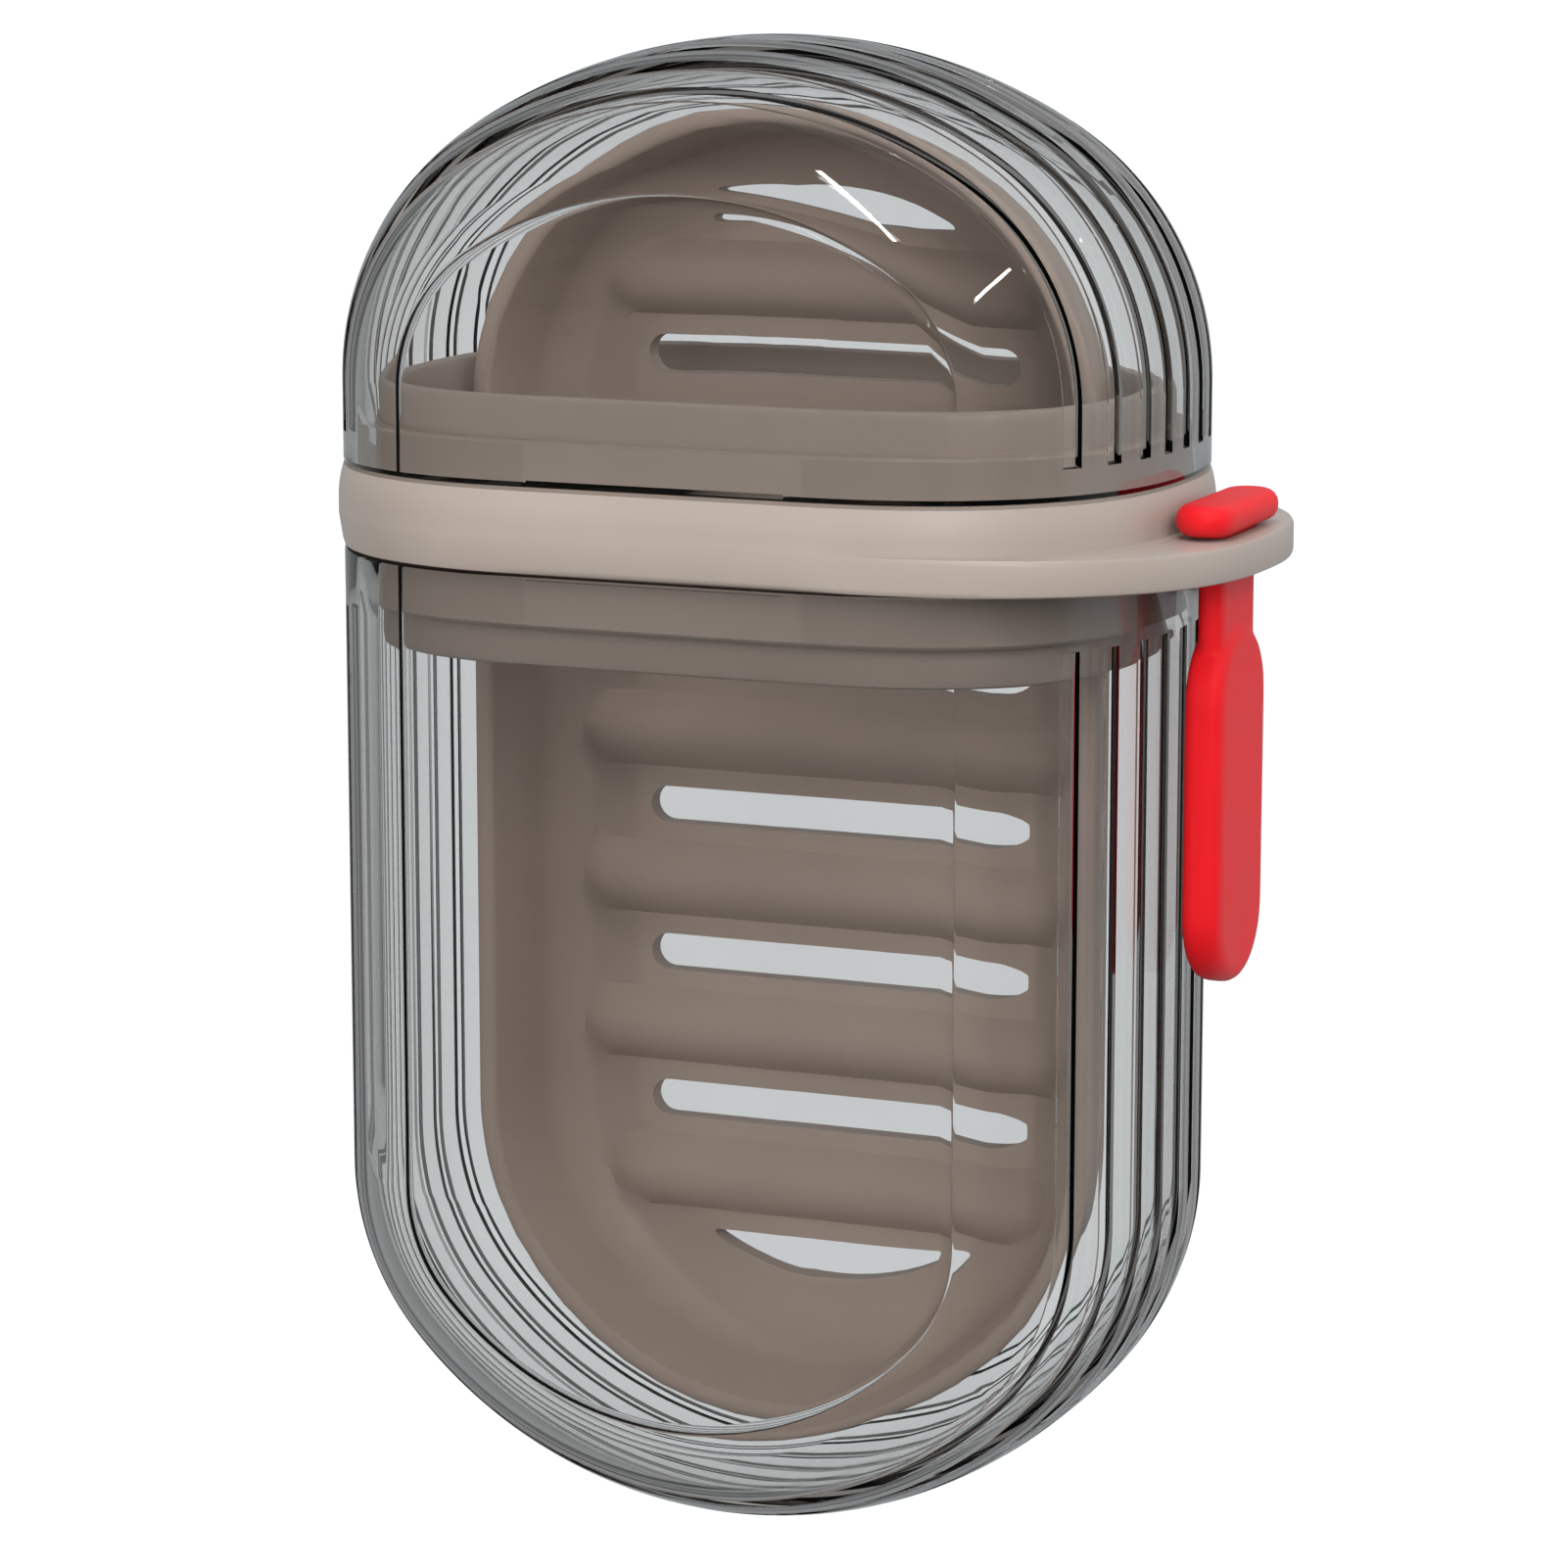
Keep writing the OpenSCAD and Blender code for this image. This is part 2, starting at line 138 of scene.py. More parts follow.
def apply_modifiers(obj):
    """Leaves the object's evaluated mesh as its own, without modifiers."""
    graph = bpy.context.evaluated_depsgraph_get()
    mesh = bpy.data.meshes.new_from_object(obj.evaluated_get(graph), depsgraph=graph)
    obj.modifiers.clear()
    old, obj.data = obj.data, mesh
    bpy.data.meshes.remove(old)


def cut_with(obj, cutter_bm, operation="DIFFERENCE"):
    """Cuts an object with a closed bmesh, or joins the two."""
    cutter = new_object("cutter", cutter_bm)
    step = obj.modifiers.new("Cut", "BOOLEAN")
    step.object, step.operation, step.solver = cutter, operation, "EXACT"
    apply_modifiers(obj)
    remove_object(cutter)


def mesh_from(obj):
    """A bmesh of an object's mesh, and the object removed."""
    bm = bmesh.new()
    bm.from_mesh(obj.data)
    remove_object(obj)
    return bm


def gather(parts):
    """One bmesh that holds several closed ones, still apart."""
    whole = bmesh.new()
    for part in parts:
        mesh = bpy.data.meshes.new("part")
        part.to_mesh(mesh)
        part.free()
        whole.from_mesh(mesh)
        bpy.data.meshes.remove(mesh)
    return whole


def block(low, high):
    """A closed box between two corners."""
    bm = bmesh.new()
    size = Vector(high) - Vector(low)
    place = Matrix.Translation((Vector(low) + Vector(high)) / 2) @ Matrix.Diagonal(size).to_4x4()
    bmesh.ops.create_cube(bm, size=1, matrix=place)
    return bm


def chain(bm, points, closed=False):
    """Vertices joined by edges, open or as a loop."""
    verts = [bm.verts.new(p) for p in points]
    pairs = list(zip(verts, verts[1:])) + ([(verts[-1], verts[0])] if closed else [])
    return verts, [bm.edges.new(pair) for pair in pairs]


def ends_of(edges):
    """The vertices of some edges, each once."""
    return list(dict.fromkeys(v for e in edges for v in e.verts))


def carry(bm, edges, place):
    """Extrudes edges, moves each new vertex to the place that a function gives for it, and returns
    the new edges."""
    grown = bmesh.ops.extrude_edge_only(bm, edges=edges)["geom"]
    fresh = {v for v in grown if isinstance(v, bmesh.types.BMVert)}
    for v in fresh:
        v.co = place(v)
    return [e for e in bm.edges if e.verts[0] in fresh and e.verts[1] in fresh]


def vert_number(bm, name):
    """The layer of whole numbers that the vertices carry under a name."""
    return bm.verts.layers.int.get(name) or bm.verts.layers.int.new(name)


def loft(bm, rows):
    """A skin through closed rows of as many points each. Returns its first and last loops."""
    index = vert_number(bm, "loft_index")
    verts, edges = chain(bm, rows[0], closed=True)
    for i, v in enumerate(verts):
        v[index] = i
    first = list(edges)
    for row in rows[1:]:
        edges = carry(bm, edges, lambda v, row=row: row[v[index]])
    return first, edges


# Finishes

# The span that the noise mostly keeps to, and the grain's fineness and share beside the waviness
NOISE_LOW, NOISE_HIGH = 0.3, 0.7
GRAIN_FINER, GRAIN_SHARE = 9, 0.25
BUMP_HEIGHT = 0.1 * MM
GLASS_TONE = (0.97, 0.975, 0.98)
LAMP_THROUGH = (0.96, 0.96, 0.96, 1)


def add_node(nodes, kind, values=None, **properties):
    """A new shader node with its properties, and the values of its sockets by name or place."""
    node = nodes.new(kind)
    for name, value in properties.items():
        setattr(node, name, value)
    for socket, value in (values or {}).items():
        node.inputs[socket].default_value = value
    return node


def new_group(name, inputs, outputs):
    """An empty shader group of number sockets, with its input and output nodes."""
    group = bpy.data.node_groups.new(name, "ShaderNodeTree")
    for way, sockets in (("INPUT", inputs), ("OUTPUT", outputs)):
        for socket in sockets:
            group.interface.new_socket(socket, in_out=way, socket_type="NodeSocketFloat")
    return group, group.nodes.new("NodeGroupInput"), group.nodes.new("NodeGroupOutput")


def moulding_grain():
    """Faint waviness and fine grain of moulded plastic: a height for bump and a mask for gloss."""
    group, given, out = new_group("Moulding grain", ("Scale", "Strength"), ("Height", "Mottle"))
    nodes, links = group.nodes, group.links
    place = add_node(nodes, "ShaderNodeTexCoord")
    wide = add_node(nodes, "ShaderNodeTexNoise", {"Detail": 1})
    fine = add_node(nodes, "ShaderNodeTexNoise", {"Detail": 2})
    finer = add_node(nodes, "ShaderNodeMath", {1: GRAIN_FINER}, operation="MULTIPLY")
    blend = add_node(nodes, "ShaderNodeMath", {1: GRAIN_SHARE}, operation="MULTIPLY_ADD")
    height = add_node(nodes, "ShaderNodeMath", operation="MULTIPLY")
    links.new(given.outputs["Scale"], wide.inputs["Scale"])
    links.new(given.outputs["Scale"], finer.inputs[0])
    links.new(finer.outputs[0], fine.inputs["Scale"])
    links.new(place.outputs["Object"], wide.inputs["Vector"])
    links.new(place.outputs["Object"], fine.inputs["Vector"])
    links.new(fine.outputs[0], blend.inputs[0])
    links.new(wide.outputs[0], blend.inputs[2])
    links.new(blend.outputs[0], height.inputs[0])
    links.new(given.outputs["Strength"], height.inputs[1])
    links.new(height.outputs[0], out.inputs["Height"])
    links.new(wide.outputs[0], out.inputs["Mottle"])
    return group


def plastic(name, colour, shade, rough, rough_spread, grain_scale, grain_strength, **shader):
    """A moulded finish: colour that drifts by a share, gloss that varies, and grain in the normal.
    A spread or a strength of 0 leaves that part out."""
    material = bpy.data.materials.new(name)
    material.use_nodes = True
    nodes, links = material.node_tree.nodes, material.node_tree.links
    surface = nodes["Principled BSDF"]
    for socket, value in shader.items():
        surface.inputs[socket.replace("_", " ")].default_value = value
    group = nodes.new("ShaderNodeGroup")
    group.node_tree = bpy.data.node_groups.get("Moulding grain") or moulding_grain()
    group.inputs["Scale"].default_value = grain_scale
    group.inputs["Strength"].default_value = grain_strength
    tone = add_node(nodes, "ShaderNodeValToRGB")
    darkest, palest = tone.color_ramp.elements
    darkest.color = [c * (1 - shade) for c in colour] + [1]
    palest.color = [min(c * (1 + shade), 1) for c in colour] + [1]
    darkest.position, palest.position = NOISE_LOW, NOISE_HIGH
    links.new(group.outputs["Mottle"], tone.inputs[0])
    links.new(tone.outputs[0], surface.inputs["Base Color"])
    surface.inputs["Roughness"].default_value = rough
    if rough_spread:
        gloss = add_node(nodes, "ShaderNodeMapRange", {
            "From Min": NOISE_LOW, "From Max": NOISE_HIGH,
            "To Min": rough - rough_spread, "To Max": rough + rough_spread,
        })
        links.new(group.outputs["Mottle"], gloss.inputs["Value"])
        links.new(gloss.outputs[0], surface.inputs["Roughness"])
    if grain_strength:
        bump = add_node(nodes, "ShaderNodeBump", {"Distance": BUMP_HEIGHT})
        links.new(group.outputs["Height"], bump.inputs["Height"])
        links.new(bump.outputs[0], surface.inputs["Normal"])
    return material


def clear_finish():
    """Clear plastic that bends light, swallows some along the way and lets the lamps through."""
    material = plastic(
        "Clear smoky plastic", GLASS_TONE, shade=0.008, rough=0, rough_spread=0,
        grain_scale=60, grain_strength=0, Transmission_Weight=1.0, IOR=1.49,
    )
    nodes, links = material.node_tree.nodes, material.node_tree.links
    surface, out = nodes["Principled BSDF"], nodes["Material Output"]
    through = add_node(nodes, "ShaderNodeBsdfTransparent", {"Color": LAMP_THROUGH})
    path = add_node(nodes, "ShaderNodeLightPath")
    lamps = add_node(nodes, "ShaderNodeMixShader")
    smoke = add_node(nodes, "ShaderNodeVolumeAbsorption", {
        "Color": list(looks().shell_tint) + [1], "Density": looks().shell_smoke,
    })
    links.new(path.outputs["Is Shadow Ray"], lamps.inputs["Fac"])
    links.new(surface.outputs[0], lamps.inputs[1])
    links.new(through.outputs[0], lamps.inputs[2])
    links.new(lamps.outputs[0], out.inputs["Surface"])
    links.new(smoke.outputs[0], out.inputs["Volume"])
    return material


# Sizes and looks that a user may change

def length_of(name, description, default):
    """A property that is a length."""
    return FloatProperty(name=name, description=description, default=default, unit="LENGTH")


def colour_of(name, description, default):
    """A property that is a colour."""
    return FloatVectorProperty(
        name=name, description=description, default=default, subtype="COLOR"
    )


class SoapDishSizes(bpy.types.PropertyGroup):
    """Sizes of the shown pieces."""

    groove_deep: length_of("Groove depth", "Depth of the grooves round the sides", 0.7 * MM)
    groove_w: length_of("Groove width", "Width of a groove", 1.7 * MM)
    mouth_lead: length_of("Mouth lead", "Slanted edge inside a shell's mouth", 0.5 * MM)
    edge_round: length_of("Edge rounding", "Rounding of moulded edges", 0.25 * MM)
    end_steps: IntProperty(name="End steps", description="Steps round a shell's end", default=72)


class SoapDishLooks(bpy.types.PropertyGroup):
    """Colours of the finishes and brightness of the studio."""

    shell_tint: colour_of("Shell tint", "Tint of the clear plastic", (0.16, 0.12, 0.07))
    shell_smoke: FloatProperty(
        name="Shell smoke", description="Light that the clear plastic swallows a metre", default=110
    )
    collar_colour: colour_of("Collar", "Colour of the collar", (0.39, 0.33, 0.29))
    tray_colour: colour_of("Tray", "Colour of the drain tray", (0.41, 0.335, 0.29))
    strap_colour: colour_of("Strap", "Colour of the strap", (0.76, 0.01, 0.016))
    floor_colour: colour_of("Floor", "Colour of the floor", (0.6, 0.6, 0.6))
    floor_glow: FloatProperty(
        name="Floor glow", description="Glow of the floor round the case", default=1.06
    )
    daylight: FloatProperty(
        name="Daylight", description="Strength of the room's light", default=0.07
    )


def sizes():
    """The sizes in use."""
    return bpy.context.scene.soap_dish_sizes


def looks():
    """The looks in use."""
    return bpy.context.scene.soap_dish_looks


# Shells

# A shell's height from its rim to its end, the rise of its arch, and the plain part at its mouth
COVER_SIZE = 39 * MM, 31.4 * MM, 2.9 * MM
LOWER_SIZE = 92 * MM, 33.4 * MM, 5.3 * MM
GROOVE_COUNT, GROOVE_PITCH, GROOVE_SLANT = 9, 4.5 * MM, 0.22 * MM
# Fine lines on the wall's inner face, as (x on the section, how far the wall is thicker there
# along the straight side, and round the end)
INNER_LINES = (
    (27.45 * MM, 0.0, 0.0), (27.65 * MM, 0.09 * MM, 0.09 * MM), (27.85 * MM, 0.0, 0.0),
    (30.5 * MM, 0.0, 0.0), (32.15 * MM, 0.2 * MM, 0.0), (33.45 * MM, 0.0, 0.0),
)
LINE_FADE = 3 * MM
STRIP_EDGE = 0.6 * MM
SIDE_STEP = 6 * MM
# Steps of the section: beside the flat strips and between two grooves outside, and before and
# after the fine lines inside
STRIP_STEPS, LAND_STEPS, FRONT_STEPS, FLANK_STEPS = 16, 3, 12, 14


def groove_edges():
    """Angles at which each groove of the half section starts and ends, from front to back."""
    half, first = sizes().groove_w / 2, (GROOVE_COUNT - 1) / 2
    depths = [(first - k) * GROOVE_PITCH for k in range(GROOVE_COUNT)]
    return [(side_angle(depth + half), side_angle(depth - half)) for depth in depths]


def outer_points():
    """Points of the outer half section, and the places in that row where a groove starts."""
    edges = groove_edges()
    front = steps_between(0, edges[0][0], STRIP_STEPS)
    angles, starts = list(front), []
    for k, (start, end) in enumerate(edges):
        starts.append(len(angles))
        last = k + 1 == GROOVE_COUNT
        angles += [start] + ([end] if last else steps_between(end, edges[k + 1][0], LAND_STEPS))
    angles += [pi - a for a in reversed(front)]
    return [section_point(a) for a in angles], starts


def inner_points(lead):
    """Points of the inner half section at the slanted mouth, along the straight sides and round
    the end, with the fine lines that show on the case's front and back."""
    lines = [
        (asin(((x - FLAT_X) / CURVE_W) ** (1 / POWER)), side, end) for x, side, end in INNER_LINES
    ]
    front = [(a, 0.0, 0.0) for a in steps_between(0, lines[0][0], FRONT_STEPS)] + lines
    front += [(a, 0.0, 0.0) for a in steps_between(lines[-1][0], pi / 2, FLANK_STEPS)[1:]]
    back = [(pi - a, side, end) for a, side, end in reversed(front)]
    whole = front + [(pi / 2, 0.0, 0.0)] + back
    return (
        [section_point(a, WALL - lead) for a, _, _ in whole],
        [section_point(a, WALL + side) for a, side, _ in whole],
        [section_point(a, WALL + end) for a, _, end in whole],
    )


def turn_edges(bm, edges, centre, angle, steps):
    """Spins edges about an axis through the case's depth, and returns the last ones."""
    last = bmesh.ops.spin(
        bm, geom=ends_of(edges) + edges, cent=centre, axis=(0, 0, 1), angle=angle, steps=steps,
        use_duplicate=False, use_merge=False,
    )["geom_last"]
    return [e for e in last if isinstance(e, bmesh.types.BMEdge)]


def fill_strip(bm, outline, lead):
    """Closes a flat strip inside its outline, which is open at the mouth, with a slanted foot over
    the lead."""
    if lead:
        slant = [e for e in outline if any(v.co.y < lead / 2 for v in e.verts)]
        foot = bm.edges.new([v for e in slant for v in e.verts if v.co.y < lead / 2])
        top = bm.edges.new([v for e in slant for v in e.verts if v.co.y > lead / 2])
        bmesh.ops.edgeloop_fill(bm, edges=slant + [foot, top])
        rest = [e for e in outline if e not in slant] + [top]
    else:
        ends = [v for v in ends_of(outline) if abs(v.co.y) < MICRON]
        rest = outline + [bm.edges.new(ends)]
    plate = bmesh.ops.edgeloop_fill(bm, edges=rest)["faces"]
    bmesh.ops.inset_region(bm, faces=plate, thickness=STRIP_EDGE, use_even_offset=True)


def swept_skin(bm, mouth, points, turned, lead, height, rise, plain):
    """One face of a shell's wall, swept up a side, round the end and down the other, with its flat
    strips. It starts and ends at the points of the mouth, reaches the wall's own points over the
    lead, and has the turned points round the end."""
    station, grooved = vert_number(bm, "station"), vert_number(bm, "grooved")
    before = set(bm.edges)
    verts, edges = chain(bm, [(p.x, 0, MID_Z + p.y) for p in mouth])
    for i, v in enumerate(verts):
        v[station] = i
    centre_x = FLAT_X - CORNER_IN
    _, drop, bend = arch_arcs(centre_x, rise - HALF_W + centre_x)
    straight = height - rise
    grooves_up = straight - plain - LINE_FADE
    up_steps = max(2, round(grooves_up / SIDE_STEP))
    end_steps = sizes().end_steps

    def to_row(edges, row, side, y):
        """Carries edges to a row of section points, as they are or mirrored."""
        def place(v):
            point = row[v[station]]
            return Vector((side * point.x, y, MID_Z + point.y))
        return carry(bm, edges, place)

    def lift(edges, by):
        """Carries edges straight along the case."""
        return carry(bm, edges, lambda v: v.co + Vector((0, by, 0)))

    if lead:
        edges = to_row(edges, points, 1, lead)
    edges = lift(edges, plain - lead)
    for e in edges:
        for v in e.verts:
            v[grooved] = 1
    for _ in range(up_steps):
        edges = lift(edges, grooves_up / up_steps)
    edges = to_row(edges, turned, 1, straight)
    edges = turn_edges(bm, edges, (centre_x, straight, 0), bend, end_steps // 2)
    edges = turn_edges(bm, edges, (0, straight - drop, 0), pi - 2 * bend, end_steps)
    edges = turn_edges(bm, edges, (-centre_x, straight, 0), bend, end_steps // 2)
    edges = to_row(edges, points, -1, straight - LINE_FADE)
    for _ in range(up_steps):
        edges = lift(edges, -grooves_up / up_steps)
    edges = lift(edges, lead - plain)
    if lead:
        edges = to_row(edges, mouth, -1, 0)

    skin = [e for e in bm.edges if e not in before]
    for e in skin:
        for v in e.verts:
            if v.co.y < plain - MICRON:
                v[grooved] = 0
    for end in (0, len(points) - 1):
        outline = [e for e in skin if e.is_boundary and all(v[station] == end for v in e.verts)]
        fill_strip(bm, outline, lead)


def cut_grooves(bm):
    """Sinks the strips of faces where the grooves run."""
    station, grooved = vert_number(bm, "station"), vert_number(bm, "grooved")
    _, starts = outer_points()
    pairs = {(s, s + 1) for s in starts}
    strips = []
    for face in bm.faces:
        if len(face.verts) == 4 and all(v[grooved] for v in face.verts):
            if tuple(sorted({v[station] for v in face.verts})) in pairs:
                strips.append(face)
    bmesh.ops.recalc_face_normals(bm, faces=bm.faces)
    bmesh.ops.inset_region(
        bm, faces=strips, thickness=GROOVE_SLANT, depth=-sizes().groove_deep,
        use_even_offset=True, use_boundary=True,
    )


def shell_mesh(height, rise, plain):
    """A clear shell from its rim at y = 0 up to its end."""
    bm = bmesh.new()
    points, _ = outer_points()
    swept_skin(bm, points, points, points, 0, height, rise, plain)
    cut_grooves(bm)
    outer = [e for e in bm.edges if e.is_boundary]
    kept = set(outer)
    lead = sizes().mouth_lead
    swept_skin(bm, *inner_points(lead), lead, height, rise, plain)
    inner = [e for e in bm.edges if e.is_boundary and e not in kept]
    bmesh.ops.bridge_loops(bm, edges=outer + inner)
    bmesh.ops.recalc_face_normals(bm, faces=bm.faces)
    bmesh.ops.bevel(
        bm, geom=outer, offset=sizes().edge_round, segments=2, profile=0.5, affect="EDGES",
        material=-1,
    )
    return bm


class SOAPDISH_OT_shells(bpy.types.Operator):
    """Builds the two clear shells"""

    bl_idname = "soapdish.shells"
    bl_label = "Shells"

    def execute(self, context):
        finish = clear_finish()
        cover = shell_mesh(*COVER_SIZE)
        bmesh.ops.translate(cover, vec=(0, RIM_Y, 0), verts=cover.verts)
        new_piece("clear_cover", cover, finish, "cover", "top_cover")
        lower = shell_mesh(*LOWER_SIZE)
        half_turn = Matrix.Rotation(pi, 3, "Z")
        bmesh.ops.rotate(lower, cent=(0, 0, 0), matrix=half_turn, verts=lower.verts)
        bmesh.ops.translate(lower, vec=(0, -RIM_Y, 0), verts=lower.verts)
        new_piece("clear_lower", lower, finish, "lower", "lower_shell")
        return {"FINISHED"}


# Collar

CREST, PROUD = 0.75 * MM, 0.5 * MM
WIDE_IN, NARROW_IN, BORE_IN = 2.3 * MM, 3.8 * MM, 5.6 * MM
# How far the wide lips reach from the band into the cover and the lower shell, and how far the
# narrow lip goes on
COVER_LIP, LOWER_LIP, NARROW_LIP = 4.3 * MM, 5.2 * MM, 3.8 * MM
LIP_SLANT, LIP_ROUND = 0.3 * MM, 0.9 * MM
EAR_TIP, EAR_LOW, EAR_TOP, EAR_ROUND = 48.2 * MM, -3.7 * MM, -0.4 * MM, 0.5 * MM
EAR_SQUARE = 2.45
EAR_STEP = 0.02 * MM
# Where the middle of a rounding lies, as a share of its radius from either face
ROUND_MIDDLE = 0.3
EAR_SLOT_LONG, EAR_SLOT_WIDE = 10.6 * MM, 2.9 * MM
STRAP_X = 43.95 * MM
RAIL_T, RAIL_SUNK, TONGUE_GAP = 2 * MM, 0.9 * MM, 0.3 * MM
SECTION_STEPS, BAND_STEPS, LIP_STEPS = 26, 6, 4
SHARP_CORNER = radians(120)


def ring_angles():
    """Angles of the closed section's right half."""
    return [pi * i / (2 * SECTION_STEPS) for i in range(2 * SECTION_STEPS + 1)]


def ring_row(inset, y):
    """The closed section at one inset and height."""
    right = [section_point(a, inset) for a in ring_angles()]
    both = right + [Vector((-p.x, p.y)) for p in reversed(right)]
    return [Vector((p.x, y, MID_Z + p.y)) for p in both]


def crown_at(y):
    """How far the band's crowned face stands out at a height."""
    past = max(0.0, abs(y) - CREST) / (BAND_Y - CREST)
    return PROUD * (1 - past * past)


def ear_row(inset, y):
    """The ear's outline on the right half and the crowned band on the left half."""
    ring = ring_row(-crown_at(y), y)
    power = 2 / EAR_SQUARE
    for i, a in enumerate(ring_angles()):
        front = 1 if cos(a) > 0 else -1
        tip = Vector((
            FLAT_X + (EAR_TIP - FLAT_X) * max(sin(a), 0.0) ** power, y,
            MID_Z + (HALF_D + PROUD) * front * abs(cos(a)) ** power,
        ))
        way = tip - ring[i]
        ring[i] = ring[i] + way * max(0.0, 1 - inset / max(way.length, 10 * MICRON))
    return ring


def lip_rows(reach, side):
    """Rows over a lip: the ledge, the wide lip, the step, and the narrow lip's rounded end."""
    step_y = side * (BAND_Y + reach)
    end_y = step_y + side * NARROW_LIP
    rows = [
        ring_row(WIDE_IN, side * BAND_Y), ring_row(WIDE_IN, step_y - side * LIP_SLANT),
        ring_row(WIDE_IN + LIP_SLANT, step_y), ring_row(NARROW_IN, step_y),
    ]
    for i in range(LIP_STEPS + 1):
        a = pi * i / LIP_STEPS
        inset = NARROW_IN + LIP_ROUND - LIP_ROUND * cos(a)
        rows.append(ring_row(inset, end_y - side * LIP_ROUND + side * LIP_ROUND * sin(a)))
    return rows


def collar_mesh():
    """The collar's section as one closed skin, with the ear in the band's own skin."""
    part_round = EAR_ROUND * ROUND_MIDDLE
    rows = [
        ear_row(EAR_ROUND, EAR_LOW), ear_row(part_round, EAR_LOW + part_round),
        ear_row(0, EAR_LOW + EAR_ROUND), ear_row(0, EAR_TOP - EAR_ROUND),
        ear_row(part_round, EAR_TOP - part_round), ear_row(EAR_ROUND, EAR_TOP),
    ]
    rows.append(ring_row(-crown_at(EAR_TOP), EAR_TOP + EAR_STEP))
    for i in range(BAND_STEPS + 1):
        y = CREST + (BAND_Y - CREST) * i / BAND_STEPS
        rows.append(ring_row(-crown_at(y), y))
    rows += lip_rows(COVER_LIP, 1) + list(reversed(lip_rows(LOWER_LIP, -1)))
    bm = bmesh.new()
    first, last = loft(bm, rows)
    bmesh.ops.bridge_loops(bm, edges=first + last)
    bmesh.ops.recalc_face_normals(bm, faces=bm.faces)
    return bm


def pill_points(length, width, steps=14):
    """Outline of a bar with round ends, long across, with so many steps round an end."""
    r, points = width / 2, []
    for side in (1, -1):
        for i in range(steps + 1):
            a = side * pi / 2 + pi * i / steps
            points.append((-side * (length / 2 - r) + r * cos(a), r * sin(a)))
    return points


def prism(outline, low, high, place, corners=0):
    """A closed prism over an outline with its sharp corners rounded by a radius, put in place by a
    function of (u, v, w)."""
    bm = bmesh.new()
    face = bm.faces.new([bm.verts.new((u, v, low)) for u, v in outline])
    if corners:
        sharp = [loop.vert for loop in face.loops if loop.calc_angle() < SHARP_CORNER]
        bmesh.ops.bevel(
            bm, geom=sharp, offset=corners, segments=5, profile=0.5, affect="VERTICES",
            material=-1,
        )
        face = next(iter(bm.faces))
    grown = bmesh.ops.extrude_face_region(bm, geom=[face])["geom"]
    top = [v for v in grown if isinstance(v, bmesh.types.BMVert)]
    bmesh.ops.translate(bm, vec=(0, 0, high - low), verts=top)
    for v in bm.verts:
        v.co = place(*v.co)
    bmesh.ops.recalc_face_normals(bm, faces=bm.faces)
    return bm


def side_bars(inner, outer, depths):
    """Bars as long as the band on both sides of the case, from one distance off its middle to
    another, one for each pair of a low and a high depth."""
    parts = []
    for side in (1, -1):
        near, far = sorted((side * inner, side * outer))
        for low, high in depths:
            parts.append(block((near, -BAND_Y, MID_Z + low), (far, BAND_Y, MID_Z + high)))
    return gather(parts)


def rails_mesh():
    """The rails inside the collar that hold the tray's tongues, two on each side."""
    return side_bars(
        TRAY_HALF + TONGUE_GAP, HALF_W - BORE_IN + RAIL_SUNK,
        ((-2 * RAIL_T - TONGUE_GAP, -RAIL_T - TONGUE_GAP), (TONGUE_GAP, TONGUE_GAP + RAIL_T)),
    )


class SOAPDISH_OT_collar(bpy.types.Operator):
    """Builds the beige collar with its lips and ear"""

    bl_idname = "soapdish.collar"
    bl_label = "Collar"

    def execute(self, context):
        finish = plastic(
            "Beige plastic", looks().collar_colour, shade=0.02, rough=0.34, rough_spread=0.05,
            grain_scale=90, grain_strength=0.4, Coat_Weight=0.12, Coat_Roughness=0.2,
        )
        ring = new_object("ring", collar_mesh())
        slot = prism(
            pill_points(EAR_SLOT_LONG, EAR_SLOT_WIDE), EAR_LOW - MM, EAR_TOP + MM,
            lambda u, v, w: (STRAP_X + v, w, MID_Z + u),
        )
        cut_with(ring, slot)
        cut_with(ring, rails_mesh(), "UNION")
        new_piece(
            "collar_ring", mesh_from(ring), finish, "collar", "collar", sharp=35
        )
        return {"FINISHED"}


# Drain tray

TRAY_HALF, TRAY_DEEP, TRAY_WALL, TRAY_LEAN = 31.5 * MM, 14.5 * MM, 2 * MM, 1.2 * MM
TRAY_TOP, TRAY_FOOT, TRAY_RISE, TRAY_CORNER = 37.2 * MM, -89.5 * MM, 30 * MM, 27 * MM
RIM_ROUND, RIM_KEPT, FOOT_OUT, FOOT_IN = 0.6 * MM, 3 * MM, 8 * MM, 7 * MM
ARCH_STEPS, FOOT_STEPS, RIM_STEPS = 18, 12, 6
FLOOR_Z = MID_Z - TRAY_DEEP
BOTTOM_Z = FLOOR_Z - TRAY_WALL
SLOT_MID = (TRAY_TOP + TRAY_FOOT) / 2 + 1.1 * MM
SLOT_COUNT, SLOT_PITCH, SLOT_LONG, SLOT_WIDE = 6, 14.7 * MM, 38 * MM, 3.6 * MM
END_SLOT_HALF, END_SLOT_TALL, END_SLOT_IN = 13.2 * MM, 3.9 * MM, 1.8 * MM
END_SLOT_ROUND, END_SLOT_STEPS, SLOT_CUT_UP = 1.6 * MM, 16, 4 * MM
# The ridges' half lengths, the radii of their backs and of the hollows under them, their height
# over the floor, and the softness of their feet
RIDGE_COUNT, RIDGE_HALF, END_RIDGE_HALF = 7, 26.5 * MM, 23.5 * MM
RIDGE_R, HOLLOW_R, RIDGE_UP, RIDGE_SOFT = 3.6 * MM, 1.6 * MM, 2.5 * MM, 0.9 * MM
